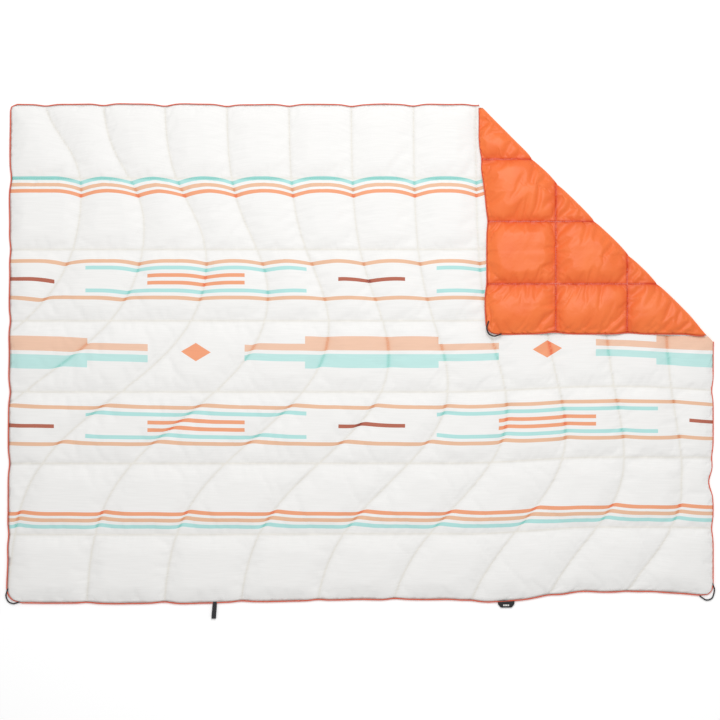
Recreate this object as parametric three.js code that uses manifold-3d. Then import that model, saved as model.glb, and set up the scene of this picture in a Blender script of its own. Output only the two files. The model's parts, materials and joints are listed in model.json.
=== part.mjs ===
// Quilted camp blanket for one person, lying face up with one corner folded over.
// Units are millimetres. The origin is the middle of the underside, +X runs along
// the long side, +Y across it and +Z up. Every sewn piece is its own mesh.

import * as THREE from 'three';
import * as BufferGeometryUtils from 'three/addons/utils/BufferGeometryUtils.js';
import Module from 'manifold-3d';

const wasm = await Module();
wasm.setup();

// Driving dimensions of the quilt
const LENGTH = 1905;              // finished size along X, piping included
const WIDTH = 1345;               // finished size along Y, piping included
const ROWS = 7;                   // quilted rows across the width
const LOFT = 18;                  // thickness at the top of a puff
const SEAM_THICKNESS = 8;         // thickness left where a row is sewn through
const FABRIC = 1.2;               // shell cloth with the backing it is quilted to
const GAP = 0.3;                  // clearance between pieces that touch
const PIPING = 3;                 // covered cord round the edge
const CORNER_RADIUS = 40;         // rounding of the corners
const ROLL_OFF = 70;              // length over which the two short ends thin out
const ARCH_STEPS = 8;             // facets across one puff
const ARC_STEPS = 6;              // facets round one corner

// The folded corner: its crease runs where x + y = CREASE_SUM. The bend uses up
// some cloth, so the corner lies a little inside its own mirror image.
const CREASE_SUM = 980;
const TAKE_UP_NEAR = 12;          // along the top edge, beside the crease
const TAKE_UP_FAR = 36;           // along the top edge, at the tip of the corner
const TAKE_UP_SIDE = 21;          // along the short side

// Trim sewn into the edge
const CORD = 4;                   // diameter of a corner loop
const LOOP_ROOT = 32;             // from the corner's sides to where a loop is sewn in
const LOOP_REACH = 3;             // how near a loop's bow comes to the square corner
const TRIM_X = 393;               // the hang loop and the label sit this far off centre
const WEBBING_WIDTH = 12.5;
const WEBBING_LENGTH = 43;
const WEBBING_THICKNESS = 1.5;
const WEBBING_EYE = 3;            // inner diameter of the turned end
const LABEL_ROOT = 44;
const LABEL_TIP = 28;
const LABEL_HEIGHT = 13;
const LABEL_THICKNESS = 2.4;

// Worked out from them
const ROW_PITCH = WIDTH / ROWS;
const EDGE_Z = SEAM_THICKNESS / 2;
const PANEL_INSET = PIPING + GAP;
const CREASE_Z = LOFT + GAP / 2;
const FAR_BELOW = -LOFT;

// Bases that turn a drawn section (its x, its y, its depth) into the part's axes
const SECTION_YZ = new THREE.Matrix4().makeBasis(
  new THREE.Vector3(0, 1, 0),
  new THREE.Vector3(0, 0, 1),
  new THREE.Vector3(1, 0, 0),
);
const SECTION_XZ = new THREE.Matrix4().makeBasis(
  new THREE.Vector3(-1, 0, 0),
  new THREE.Vector3(0, 0, 1),
  new THREE.Vector3(0, 1, 0),
);
const PLAN = new THREE.Matrix4();

// A closed mesh becomes a solid that can be cut, and back again.
function toSolid(geometry) {
  const bare = geometry.clone();
  bare.deleteAttribute('normal');
  bare.deleteAttribute('uv');
  const merged = BufferGeometryUtils.mergeVertices(bare, 1e-4);
  return new wasm.Manifold(new wasm.Mesh({
    numProp: 3,
    vertProperties: new Float32Array(merged.attributes.position.array),
    triVerts: new Uint32Array(merged.index.array),
  }));
}

function toGeometry(solid) {
  const mesh = solid.getMesh();
  const geometry = new THREE.BufferGeometry();
  geometry.setAttribute('position', new THREE.BufferAttribute(mesh.vertProperties, 3));
  geometry.setIndex(new THREE.BufferAttribute(mesh.triVerts, 1));
  return geometry.toNonIndexed();
}

// A drawn outline given depth, from start to end along the basis' third axis.
function extrude(points, start, end, basis = PLAN) {
  const shape = new THREE.Shape(points);
  const geometry = new THREE.ExtrudeGeometry(shape, { depth: end - start, bevelEnabled: false });
  geometry.translate(0, 0, start);
  geometry.applyMatrix4(basis);
  return toSolid(geometry);
}

// The points of a polygon whose listed corners are rounded: [x, y, radius].
function rounded(corners) {
  const points = [];
  corners.forEach(([x, y, radius], index) => {
    const here = new THREE.Vector2(x, y);
    if (!radius) {
      points.push(here);
      return;
    }
    const before = new THREE.Vector2(...corners[(index + corners.length - 1) % corners.length]);
    const after = new THREE.Vector2(...corners[(index + 1) % corners.length]);
    const from = here.clone().add(before.sub(here).setLength(radius));
    const to = here.clone().add(after.sub(here).setLength(radius));
    const curve = new THREE.QuadraticBezierCurve(from, here, to);
    points.push(...curve.getPoints(ARC_STEPS));
  });
  return points;
}

// Outline of the whole blanket laid flat, pulled in by inset.
function fullOutline(inset) {
  const x = LENGTH / 2 - inset;
  const y = WIDTH / 2 - inset;
  const r = CORNER_RADIUS - inset;
  return rounded([[-x, -y, r], [x, -y, r], [x, y, r], [-x, y, r]]);
}

// Outline of the corner opened flat, which the bend has drawn in a little.
function cornerOutline(inset) {
  const side = LENGTH / 2 - TAKE_UP_SIDE - inset;
  const nearTop = WIDTH / 2 - TAKE_UP_NEAR - inset;
  const tip = WIDTH / 2 - TAKE_UP_FAR - inset;
  const r = CORNER_RADIUS - inset;
  return rounded([[-LENGTH / 2, nearTop, 0], [side, -WIDTH / 2, 0], [side, tip, r],
    [CREASE_SUM - WIDTH / 2, nearTop, 0]]);
}

// Everything on one side of the crease, half a gap clear of it.
function besideCrease(outward) {
  const edge = CREASE_SUM + outward * GAP * Math.SQRT1_2;
  const reach = LENGTH + WIDTH;
  const far = outward * reach;
  const points = [[edge + reach, -reach], [edge - reach, reach],
    [edge - reach + far, reach + far], [edge + reach + far, -reach + far]];
  const ordered = outward > 0 ? points.reverse() : points;
  return extrude(ordered.map(([x, y]) => new THREE.Vector2(x, y)), FAR_BELOW, LOFT * 3);
}

// One puff's rise above its seams, for t from 0 to 1 across it.
function arch(t) {
  return 1 - Math.abs(2 * t - 1) ** 2.6;
}

// The quilt's top surface as a drawn section, rows side by side, lowered by drop.
function rowSection(drop) {
  const points = [];
  for (let step = 0; step <= ROWS * ARCH_STEPS; step += 1) {
    const t = step / ARCH_STEPS;
    const rise = (LOFT - SEAM_THICKNESS) * arch(t % 1);
    points.push(new THREE.Vector2(t * ROW_PITCH - WIDTH / 2, SEAM_THICKNESS + rise - drop));
  }
  points.push(new THREE.Vector2(WIDTH / 2, FAR_BELOW), new THREE.Vector2(-WIDTH / 2, FAR_BELOW));
  return points.reverse();
}

// The same seen along the rows: full loft, thinning to the seam at each end.
function endSection(drop) {
  const half = LENGTH / 2;
  const points = [];
  for (let step = 0; step <= ARCH_STEPS; step += 1) {
    const t = step / ARCH_STEPS;
    const rise = (LOFT - SEAM_THICKNESS) * arch(t / 2);
    points.push(new THREE.Vector2(half - t * ROLL_OFF, SEAM_THICKNESS + rise - drop));
  }
  const mirrored = points.map((point) => new THREE.Vector2(-point.x, point.y)).reverse();
  const floor = [new THREE.Vector2(-half, FAR_BELOW), new THREE.Vector2(half, FAR_BELOW)];
  return [...floor, ...points, ...mirrored];
}

// Everything under the quilted surface once it is lowered by drop.
function underSurface(drop) {
  const rows = extrude(rowSection(drop), -LENGTH, LENGTH, SECTION_YZ);
  const ends = extrude(endSection(drop), -WIDTH, WIDTH, SECTION_XZ);
  return rows.intersect(ends);
}

function between(low, high, outline) {
  return extrude(outline, low, high);
}

// The four layers of one region of the quilt, lying flat and face up.
function quiltLayers(outlineOf, outward) {
  const region = besideCrease(outward);
  const panel = outlineOf(PANEL_INSET);
  const cut = (solid) => solid.intersect(region);
  const skin = FABRIC + GAP;
  const face = underSurface(0).subtract(underSurface(FABRIC));
  const rim = between(EDGE_Z - PIPING / 2, EDGE_Z + PIPING / 2, outlineOf(0));
  const inside = between(FAR_BELOW, LOFT, outlineOf(PIPING));
  return {
    face: cut(face.intersect(between(0, LOFT, panel))),
    fill: cut(underSurface(skin).intersect(between(skin, LOFT, panel))),
    lining: cut(between(0, FABRIC, panel)),
    piping: cut(rim.subtract(inside)),
  };
}

const blanket = new THREE.Group();

const printedRipstop = new THREE.MeshStandardMaterial({ color: 0xf1efea, roughness: 0.75 });
const orangeTaffeta = new THREE.MeshStandardMaterial({ color: 0xf97b42, roughness: 0.5 });
const polyesterFill = new THREE.MeshStandardMaterial({ color: 0xf7f7f4, roughness: 1 });
const pipingCloth = new THREE.MeshStandardMaterial({ color: 0xe8664a, roughness: 0.6 });
const blackCord = new THREE.MeshStandardMaterial({ color: 0x1e1e20, roughness: 0.8 });
const blackWebbing = new THREE.MeshStandardMaterial({ color: 0x1b1b1d, roughness: 0.85 });

function addPiece(group, name, geometry, material) {
  geometry.computeVertexNormals();
  const mesh = new THREE.Mesh(geometry, material);
  mesh.name = name;
  group.add(mesh);
  return mesh;
}

// The main field of the quilt, up to the crease.
function addMainQuilt() {
  const layers = quiltLayers(fullOutline, -1);
  addPiece(blanket, 'lining_panel', toGeometry(layers.lining), orangeTaffeta);
  addPiece(blanket, 'insulation_sheet', toGeometry(layers.fill), polyesterFill);
  addPiece(blanket, 'face_panel', toGeometry(layers.face), printedRipstop);
  addPiece(blanket, 'edge_piping', toGeometry(layers.piping), pipingCloth);
}

// The same layers beyond the crease, turned over onto the face about the crease.
const foldedCorner = new THREE.Group();
const creasePoint = new THREE.Vector3(CREASE_SUM / 2, CREASE_SUM / 2, CREASE_Z);
const creaseAxis = new THREE.Vector3(1, -1, 0).normalize();
foldedCorner.applyMatrix4(new THREE.Matrix4().makeTranslation(creasePoint)
  .multiply(new THREE.Matrix4().makeRotationAxis(creaseAxis, Math.PI))
  .multiply(new THREE.Matrix4().makeTranslation(creasePoint.clone().negate())));
blanket.add(foldedCorner);

function addCornerQuilt() {
  const layers = quiltLayers(cornerOutline, 1);
  addPiece(foldedCorner, 'flap_lining_panel', toGeometry(layers.lining), orangeTaffeta);
  addPiece(foldedCorner, 'flap_insulation_sheet', toGeometry(layers.fill), polyesterFill);
  addPiece(foldedCorner, 'flap_face_panel', toGeometry(layers.face), printedRipstop);
  addPiece(foldedCorner, 'flap_edge_piping', toGeometry(layers.piping), pipingCloth);
}

// A cord bowed round the outside of a rounded corner, sewn in at both ends. The
// corner's sides meet at (x, y), and toX and toY point back along them.
function addCornerLoop(group, name, x, y, toX, toY) {
  const clear = CORD / 2 + GAP * 4;
  const bow = LOOP_REACH;
  const root = LOOP_ROOT;
  const at = (a, b) => new THREE.Vector3(x + toX * a, y + toY * b, EDGE_Z);
  const path = new THREE.CatmullRomCurve3([at(root, -clear), at(root * 0.55, -clear),
    at(bow, bow), at(-clear, root * 0.55), at(-clear, root)]);
  const section = new THREE.Shape().absarc(0, 0, CORD / 2, 0, Math.PI * 2);
  const geometry = new THREE.ExtrudeGeometry(section, {
    steps: 14,
    curveSegments: 4,
    extrudePath: path,
    bevelEnabled: false,
  });
  addPiece(group, name, geometry, blackCord);
}

// Webbing turned back on itself into a narrow eye, its two ends in the seam.
function addHangLoop() {
  const root = -WIDTH / 2 - GAP;
  const tip = root - WEBBING_LENGTH;
  const outer = WEBBING_EYE / 2 + WEBBING_THICKNESS;
  const inner = WEBBING_EYE / 2;
  const centre = tip + outer;
  const section = new THREE.Shape();
  section.moveTo(root, EDGE_Z - outer);
  section.lineTo(root, EDGE_Z - inner);
  section.lineTo(centre, EDGE_Z - inner);
  section.absarc(centre, EDGE_Z, inner, -Math.PI / 2, Math.PI / 2, true);
  section.lineTo(root, EDGE_Z + inner);
  section.lineTo(root, EDGE_Z + outer);
  section.lineTo(centre, EDGE_Z + outer);
  section.absarc(centre, EDGE_Z, outer, Math.PI / 2, -Math.PI / 2, false);
  const geometry = new THREE.ExtrudeGeometry(section, {
    depth: WEBBING_WIDTH,
    curveSegments: 8,
    bevelEnabled: false,
  });
  geometry.translate(0, 0, -TRIM_X - WEBBING_WIDTH / 2);
  geometry.applyMatrix4(SECTION_YZ);
  addPiece(blanket, 'hang_loop', geometry, blackWebbing);
}

// A folded label, wider in the seam than at its free edge.
function addLabelTab() {
  const root = -WIDTH / 2 - GAP;
  const tip = root - LABEL_HEIGHT;
  const outline = rounded([[TRIM_X - LABEL_TIP / 2, tip, 3], [TRIM_X + LABEL_TIP / 2, tip, 3],
    [TRIM_X + LABEL_ROOT / 2, root, 0], [TRIM_X - LABEL_ROOT / 2, root, 0]]);
  const tab = between(EDGE_Z - LABEL_THICKNESS / 2, EDGE_Z + LABEL_THICKNESS / 2, outline);
  addPiece(blanket, 'label_tab', toGeometry(tab), blackWebbing);
}

addMainQuilt();
addCornerQuilt();
addCornerLoop(blanket, 'corner_loop_bottom_left', -LENGTH / 2, -WIDTH / 2, 1, 1);
addCornerLoop(blanket, 'corner_loop_bottom_right', LENGTH / 2, -WIDTH / 2, -1, 1);
addCornerLoop(foldedCorner, 'corner_loop_folded', LENGTH / 2 - TAKE_UP_SIDE,
  WIDTH / 2 - TAKE_UP_FAR, -1, -1);
addHangLoop();
addLabelTab();

export default blanket;
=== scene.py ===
# %% [markdown]
# # A quilted camp blanket
# A puffy blanket is two thin woven shells with a sheet of fluffy polyester between
# them, sewn through in lines so that the filling can't wander. Everything the eye
# reads as "quilt" comes from those lines: the cloth is held down there and swells
# up in between. The solid model gives the sizes and the crease of the turned corner,
# and this script makes the cloth.

# %% Load the frame and measure it
import json
import math
import bpy
import numpy as np
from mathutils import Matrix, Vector


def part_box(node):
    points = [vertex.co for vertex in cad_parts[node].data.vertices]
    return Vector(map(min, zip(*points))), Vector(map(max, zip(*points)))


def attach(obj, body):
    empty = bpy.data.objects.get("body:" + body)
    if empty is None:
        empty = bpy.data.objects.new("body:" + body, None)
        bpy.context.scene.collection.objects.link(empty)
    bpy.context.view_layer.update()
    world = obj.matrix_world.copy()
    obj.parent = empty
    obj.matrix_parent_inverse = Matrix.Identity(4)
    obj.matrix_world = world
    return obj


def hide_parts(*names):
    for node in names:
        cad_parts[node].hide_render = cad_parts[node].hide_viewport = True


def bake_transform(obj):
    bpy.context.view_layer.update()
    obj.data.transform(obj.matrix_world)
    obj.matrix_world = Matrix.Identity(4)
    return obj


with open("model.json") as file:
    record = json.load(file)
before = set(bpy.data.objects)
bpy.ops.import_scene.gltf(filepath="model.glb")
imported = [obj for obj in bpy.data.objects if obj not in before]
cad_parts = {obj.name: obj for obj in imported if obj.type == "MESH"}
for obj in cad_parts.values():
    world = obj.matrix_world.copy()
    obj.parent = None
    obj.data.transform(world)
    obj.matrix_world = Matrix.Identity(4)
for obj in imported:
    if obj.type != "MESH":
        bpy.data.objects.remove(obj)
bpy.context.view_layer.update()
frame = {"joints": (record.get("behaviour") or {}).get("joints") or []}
scene = bpy.context.scene

MM = 0.001
TINY = 1e-9


def box_mm(node):
    """The lowest and the highest corner of a solid, in mm."""
    return [np.array(corner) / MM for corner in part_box(node)]


low, high = box_mm("edge_piping")
LEFT, BOTTOM = low[0], low[1]
RIGHT, TOP = high[0], high[1]
LENGTH, WIDTH = RIGHT - LEFT, TOP - BOTTOM
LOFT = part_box("face_panel")[1].z / MM
SEAM_Z = sum(corner.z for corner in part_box("edge_piping")) / 2 / MM
CREASE_JOINT = next(j for j in frame["joints"] if j["name"] == "corner_fold")
CREASE_SUM = sum(CREASE_JOINT["pos_m"][:2]) / MM
CREASE_Z = CREASE_JOINT["pos_m"][2] / MM
print(f"blanket {LENGTH:.0f} by {WIDTH:.0f} mm, loft {LOFT:.1f}, crease at x+y={CREASE_SUM:.0f}")

# %% [markdown]
# ## Where the quilting lines run
# The rows are straight and run the length of the blanket. The lines that cross them
# are wavy: each leaves the top edge square, bows to the right, and then slides away
# to the left on the slant before it drops straight again. Every line is the same
# wave, started a little further right and a little further down than the last, so
# one function of the line's number and the distance down the blanket draws them all.

# %% The quilting lines
ROWS = 7
ROW_PITCH = WIDTH / ROWS
ROW_SHIFT = -8                      # the grid of rows sits this far below the middle
CROSS_LINES = 11
FIRST_LINE, LINE_PITCH = 87, 168    # place of the first crossing line at the top, and spacing
WAVE_START, WAVE_STEP = 1.38, 0.463  # rows down to a line's wave, and how much lower the next is


def rows_down(y):
    """How many rows of quilting lie above y."""
    return (TOP - y) / ROW_PITCH


def cross_line(number, y):
    """x of one crossing line, where number may be a fraction between two lines."""
    down = rows_down(y) - (WAVE_START + WAVE_STEP * number + 0.004 * number ** 2)
    bow = (125 + 10 * number) / (1 + np.exp(-(down + 0.9) / (0.233 + 0.054 * number)))
    slide = 643 - 41 * number + 1.8 * number ** 2
    slid = slide / (1 + np.exp(-np.clip((down - 2.23 + 0.213 * number) / 0.56, -40, 40)))
    return LEFT + FIRST_LINE + LINE_PITCH * number + bow - slid


def cross_slope(number, y):
    """How much a crossing line moves along the blanket for each mm across it."""
    return (cross_line(number, y + 2) - cross_line(number, y - 2)) / 4


ROW_LINES = [TOP + ROW_SHIFT - ROW_PITCH * n for n in range(1, ROWS)]
print("row lines at", [round(y) for y in ROW_LINES])


def smooth(t):
    """An S-curve that rises from 0 to 1 as t does."""
    t = np.clip(t, 0, 1)
    return t * t * (3 - 2 * t)

# %% [markdown]
# ## How the cloth swells between the lines
# Filling pushes the cloth out as far as the stitching lets it. Close to a line it
# climbs steeply, then it rounds over and is nearly level in the middle of a puff.
# A quarter of an ellipse gives that rise, and the product of the rise away from the
# rows, the crossing lines and the edge gives one height between 0 and 1 everywhere.

# %% Rise of one puff, and repeatable noise
RISE_REACH = 78                     # the rise is complete this far from a line


def rise(distance, reach=RISE_REACH):
    """Height from 0 at a line to 1 in the middle of a puff."""
    return np.sqrt(1 - (1 - np.clip(np.abs(distance) / reach, 0, 1)) ** 2)


NOISE_SIZE = 256
NOISE = np.random.default_rng(7).random((8, NOISE_SIZE, NOISE_SIZE))


def noise(a, b, layer=0):
    """Smooth noise from -1 to 1 with one feature per unit of a and of b."""
    ia, ib = np.floor(a).astype(int), np.floor(b).astype(int)
    fa, fb = smooth(a - ia), smooth(b - ib)
    table = NOISE[layer]
    at = lambda da, db: table[(ia + da) % NOISE_SIZE, (ib + db) % NOISE_SIZE]
    near = at(0, 0) * (1 - fa) + at(1, 0) * fa
    far = at(0, 1) * (1 - fa) + at(1, 1) * fa
    return 2 * (near * (1 - fb) + far * fb) - 1


print("a puff has risen by", [round(float(rise(d)), 2) for d in (5, 20, 40)], "at 5, 20 and 40 mm")

# %% Distances to the quilting lines
def nearest_line(position, lines):
    """(distance to the nearest of some straight lines, its number, side)."""
    away = np.stack([position - line for line in lines])
    nearest = np.abs(away).argmin(0)
    own = np.take_along_axis(away, nearest[None], 0)[0]
    return np.abs(own), nearest, np.sign(own)


def to_cross_lines(x, y):
    """(distance to the nearest crossing line, that line's number, side)."""
    best = np.full(np.shape(x), np.inf)
    nearest = np.zeros(np.shape(x), int)
    side = np.zeros(np.shape(x))
    for number in range(CROSS_LINES):
        away = (x - cross_line(number, y)) / np.sqrt(1 + cross_slope(number, y) ** 2)
        closer = np.abs(away) < best
        best = np.where(closer, np.abs(away), best)
        nearest = np.where(closer, number, nearest)
        side = np.where(closer, np.sign(away), side)
    return best, nearest, side


centre = to_cross_lines(np.zeros(1), np.zeros(1))
print(f"the centre is {centre[0][0]:.0f} mm from crossing line {centre[1][0]}")

# %% [markdown]
# Machine stitching gathers thin cloth, so short puckers stand square to every line
# and fade out a few centimetres away. Larger, softer creases cross each puff where
# the cloth was pulled a little skew.

# %% Puckers and creases
PUCKER_LENGTH = 34
PUCKER_SPACING = 17
PUCKER_HEIGHT = 1.5
EDGE_RISE, CORNER_RISE = 55, 50     # the puffs of field and corner rise this far from the edge
FIELD_FULL, CORNER_FULL = 0.7, 0.85  # a power below 1 fills a puff out towards its lines


def puckers(along, away, line, side, layer):
    """Wrinkles square to one line, that fade with distance from it."""
    lane = line * 3.7 + side * 1.3
    lean = 0.35 * noise(along / 90, lane, layer)
    tight = noise(along / PUCKER_SPACING + lean * away / 12, lane + away / 160, layer)
    wide = noise(along / (PUCKER_SPACING * 2.6), lane + 11.5 + away / 200, layer + 1)
    fade = np.exp(-away / PUCKER_LENGTH) * (1 - 0.55 * np.exp(-away / 5))
    patchy = 0.55 + 0.45 * noise(along / 120, lane + 5.1, layer)
    return (tight * 0.6 + wide * 0.7) * fade * patchy


def creases(x, y, layer):
    """Soft slack in the middle of the puffs, mostly on the slant."""
    broad = noise(x / 95 + y / 210, y / 120 - x / 300, layer)
    slant = noise((x + y) / 60, (x - y) / 210, layer + 1)
    fine = noise((x - y * 0.6) / 26, (x + y) / 95, layer + 2)
    return 0.5 * broad + 0.45 * slant + 0.22 * fine


def quilt_rise(x, y, edge):
    """Height from 0 at a line to about 1, and the wrinkles on it in mm."""
    cross, number, cross_side = to_cross_lines(x, y)
    row, row_number, row_side = nearest_line(y, ROW_LINES)
    puff = rise(cross) * rise(row) * rise(edge, EDGE_RISE)
    plump = 0.93 + 0.09 * noise(number + 0.5 * cross_side + 3.3, row_number + 0.5 * row_side, 3)
    wrinkle = PUCKER_HEIGHT * (
        puckers(x, row, row_number, row_side, 0)
        + 0.9 * puckers(y, cross, number, cross_side, 2)
        + 0.8 * creases(x, y, 4) * smooth(np.minimum(cross, row) / 50))
    wrinkle = wrinkle * smooth(edge / 18)
    return puff ** FIELD_FULL * plump, wrinkle


puff, wrinkle = quilt_rise(np.linspace(LEFT, RIGHT, 400), np.zeros(400), np.full(400, WIDTH / 2))
print(f"along the middle: puffs up to {puff.max():.2f}, wrinkles up to {np.abs(wrinkle).max():.1f} mm")

# %% [markdown]
# ## Letting the cloth find its own wrinkles
# Drawn puffs look like upholstery. Real shell cloth is a little larger than the
# ground it covers, so it buckles. Each visible skin is therefore run as a cloth
# simulation: it is held along every line of stitching, given a few percent of spare
# cloth, and blown up gently from inside. No point may move further than a cap.

# %% A piece from points and faces
def new_piece(name, points, faces):
    """An object made from points in mm and lists of point numbers."""
    mesh = bpy.data.meshes.new(name)
    mesh.from_pydata((points * MM).tolist(), [], faces)
    piece = bpy.data.objects.new(name, mesh)
    scene.collection.objects.link(piece)
    return piece


# %% Swell one skin as cloth
def swell(name, x, y, z, held, spare, pressure, cap, frames=20):
    """Simulates one skin, whose points stay put where held; returns its new x, y and z in mm."""
    rows, columns = x.shape
    index = np.arange(rows * columns).reshape(rows, columns)
    quads = np.stack([index[:-1, :-1], index[1:, :-1], index[1:, 1:], index[:-1, 1:]], -1)
    points = np.stack([x, y, z], -1).reshape(-1, 3)
    skin = new_piece(name, points, quads.reshape(-1, 4).tolist())
    skin.vertex_groups.new(name="held").add(np.nonzero(held.ravel())[0].tolist(), 1.0, "REPLACE")
    cloth = skin.modifiers.new("cloth", "CLOTH")
    options = cloth.settings
    options.quality = 5
    options.mass = 0.15
    options.air_damping = 2.0
    options.tension_stiffness = options.compression_stiffness = 12
    options.shear_stiffness = 4
    options.bending_stiffness = 0.02
    options.shrink_min = options.shrink_max = -spare
    options.use_pressure = True
    options.uniform_pressure_force = pressure
    options.effector_weights.gravity = 0
    options.vertex_group_mass = "held"
    options.pin_stiffness = 5
    cloth.collision_settings.use_collision = False
    cloth.point_cache.frame_start, cloth.point_cache.frame_end = 1, frames
    for step in range(1, frames + 1):
        scene.frame_set(step)
    result = skin.evaluated_get(bpy.context.evaluated_depsgraph_get()).to_mesh()
    moved = np.zeros(rows * columns * 3, np.float32)
    result.vertices.foreach_get("co", moved)
    scene.frame_set(1)
    bpy.data.objects.remove(skin)
    start = points * MM
    shift = moved.reshape(-1, 3) - start
    size = np.linalg.norm(shift, axis=1, keepdims=True)
    shift = shift * np.minimum(1, cap * MM / np.maximum(size, TINY))
    made = ((start + shift) / MM).reshape(rows, columns, 3)
    print(f"{name}: {len(points)} points moved {size.mean() / MM:.1f} mm on average before the cap")
    return made[..., 0], made[..., 1], made[..., 2]


# %% [markdown]
# ## A closed pad from two skins
# The face and the lining share one outline, so the pad is one grid of points used
# twice: once at the height of the face and once at the height of the lining. Their
# borders are the same points, which closes the pad at the seam round the edge.

# %% Build a pad from two skins that share their border
def pad_mesh(name, top_skin, bottom_skin, cloth, stitched, materials):
    """Each skin is (x, y, z) in mm; cloth is the flat position, stitched is 1 at a line and fades away from
    it; the shaders paint seam shade with it.
    """
    rows, columns = top_skin[0].shape
    inner = np.zeros((rows, columns), bool)
    inner[1:-1, 1:-1] = True
    top_index = np.arange(rows * columns).reshape(rows, columns)
    bottom_index = top_index.copy()
    bottom_index[inner] = rows * columns + np.arange(inner.sum())
    top, bottom = np.stack(top_skin, -1), np.stack(bottom_skin, -1)
    points = np.concatenate([top.reshape(-1, 3), bottom[inner]])
    flat = np.concatenate([cloth.reshape(-1, 2), cloth[inner]]) * MM

    def faces_of(k):
        """Two triangles a cell, split along the way the crossing lines slant."""
        a, b, c, d = k[:-1, :-1], k[1:, :-1], k[1:, 1:], k[:-1, 1:]
        return np.concatenate([np.stack([a, b, d], -1).reshape(-1, 3),
                               np.stack([b, c, d], -1).reshape(-1, 3)])

    faces = np.concatenate([faces_of(top_index), faces_of(bottom_index)[:, ::-1]])
    piece = new_piece(name, points, faces.tolist())
    mesh = piece.data
    slots = np.repeat([0, 1], len(faces) // 2)
    mesh.polygons.foreach_set("material_index", slots.astype(np.int32))
    mesh.polygons.foreach_set("use_smooth", np.ones(len(faces), bool))
    corner = np.zeros(len(mesh.loops), np.int32)
    mesh.loops.foreach_get("vertex_index", corner)
    mesh.uv_layers.new(name="cloth").uv.foreach_set("vector", flat[corner].astype(np.float32).ravel())
    # The stitched attribute carries the mask for the painted shade at the lines.
    seam = mesh.attributes.new("stitched", "FLOAT", "POINT")
    both = np.concatenate([stitched.ravel(), stitched[inner]])
    seam.data.foreach_set("value", both.astype(np.float32))
    for material in materials:
        mesh.materials.append(material)
    print(f"{name}: {len(points)} points, {len(faces)} triangles")
    return piece


# %% [markdown]
# ## The main field
# The pad runs from the left edge to the right edge, or to the crease where that comes
# first. Points crowd together near the crease, because the lining has to turn up
# there in a tight curve. A soft blanket never lies quite square: its long lower edge
# wanders, the right-hand end is pushed up a little and every line pulls the edge in.

# %% Outline of the main field
ROLL = 24                           # the lining starts to turn up this far from the crease
BULGE = 2                           # and reaches this far past it
CORNER, TIGHT_CORNER = 40, 18       # rounding at the bottom corners and at the top one
MAIN_ROWS, MAIN_COLUMNS = 212, 288
SEWN_WITHIN = 2.9                   # half a stitched line's width, where it runs on the slant
CREASE_END = CREASE_SUM + math.sqrt(2) * BULGE
NEAR_LEFT, NEAR_RIGHT, NEAR_TOP, NEAR_BOTTOM = 90, 60, 70, 110  # reach of each edge's wander
CROSS_PULL, ROW_PULL = 22, 24       # a line draws the edge in over this far to each side
RIGHT_DENT = -363                   # the right-hand edge is pinched in at this height
LOOP_REST = 15                      # the bottom right corner lies this much lower, by its loop


def corner_cut(gap, radius=CORNER):
    """How far a rounded corner pulls the edge in, gap away from the other edge."""
    return radius * (1 - np.sqrt(np.clip(gap / radius, 0, 1))) ** 2


def drape(x, y):
    """Moves the flat cloth to where it really lies: pulled in at lines, pushed up at the right."""
    down = (TOP - y) / WIDTH
    near_left = np.exp(-(x - LEFT) / NEAR_LEFT)
    near_right = np.exp(-(RIGHT - x) / NEAR_RIGHT)
    near_top = np.exp(-(TOP - y) / NEAR_TOP)
    near_bottom = np.exp(-(y - BOTTOM) / NEAR_BOTTOM)
    pulled = np.exp(-(to_cross_lines(x, y)[0] / CROSS_PULL) ** 2)
    row_pulled = np.exp(-(nearest_line(y, ROW_LINES)[0] / ROW_PULL) ** 2)
    bumpy = 2.5 * noise(x / 60, y * 0 + 3.5, 5)
    dx = near_left * (9 * (1 - down) + 4 * row_pulled + 2 * noise(y / 70, x * 0 + 9.5, 5))
    dx = dx - near_right * (2 + 4 * row_pulled + 12 * np.exp(-((y - RIGHT_DENT) / 30) ** 2))
    dy = -near_top * (4.5 * pulled + 1.5 + bumpy)
    wander = 10 * smooth((x + 500) / 600) * (1 - smooth((x - 230) / 130))
    dy = dy + near_bottom * (3 * pulled + bumpy + wander + 11 * smooth((x - 430) / 160))
    lift = 20 * smooth((x - 240) / 420) * (0.4 + 0.6 * down) * smooth(-past_crease(x, y) / 260)
    return x + dx, y + dy + lift - LOOP_REST * near_right * near_bottom


print(f"corners rounded over {CORNER} and {TIGHT_CORNER} mm, lining turns up over {ROLL + BULGE} mm")

# %% The crease, where the corner turns over
TAKE_UP = 18                        # the bend draws the corner's lines this far along
FLAP_X = [CREASE_SUM - line + TAKE_UP for line in ROW_LINES[:2]]
FLAP_Y = [CREASE_SUM - float(cross_line(n, TOP)) + TAKE_UP + 4 for n in (8, 9, 10)]
CREASE_SEAMS = [line - TAKE_UP for line in ROW_LINES[:2]] + FLAP_Y


def crease_wave(y):
    """How far the fold stands out, in mm: full between the lines, pinched at each."""
    from_seam = nearest_line(y, CREASE_SEAMS)[0]
    full = 6.5 * rise(from_seam, 42) * smooth((y - 50) / 60)
    return full + 1.5 + 1.5 * noise(y / 30, y * 0 + 6.5, 6) * smooth((y - 60) / 500)


def past_crease(x, y):
    """Distance beyond the crease line, in mm; negative on the field."""
    return (x + y - CREASE_SUM - crease_wave(y)) / math.sqrt(2)


stands_out = crease_wave(np.linspace(100, 600, 200))
print(f"the crease stands out {stands_out.min():.1f} to {stands_out.max():.1f} mm")


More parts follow.
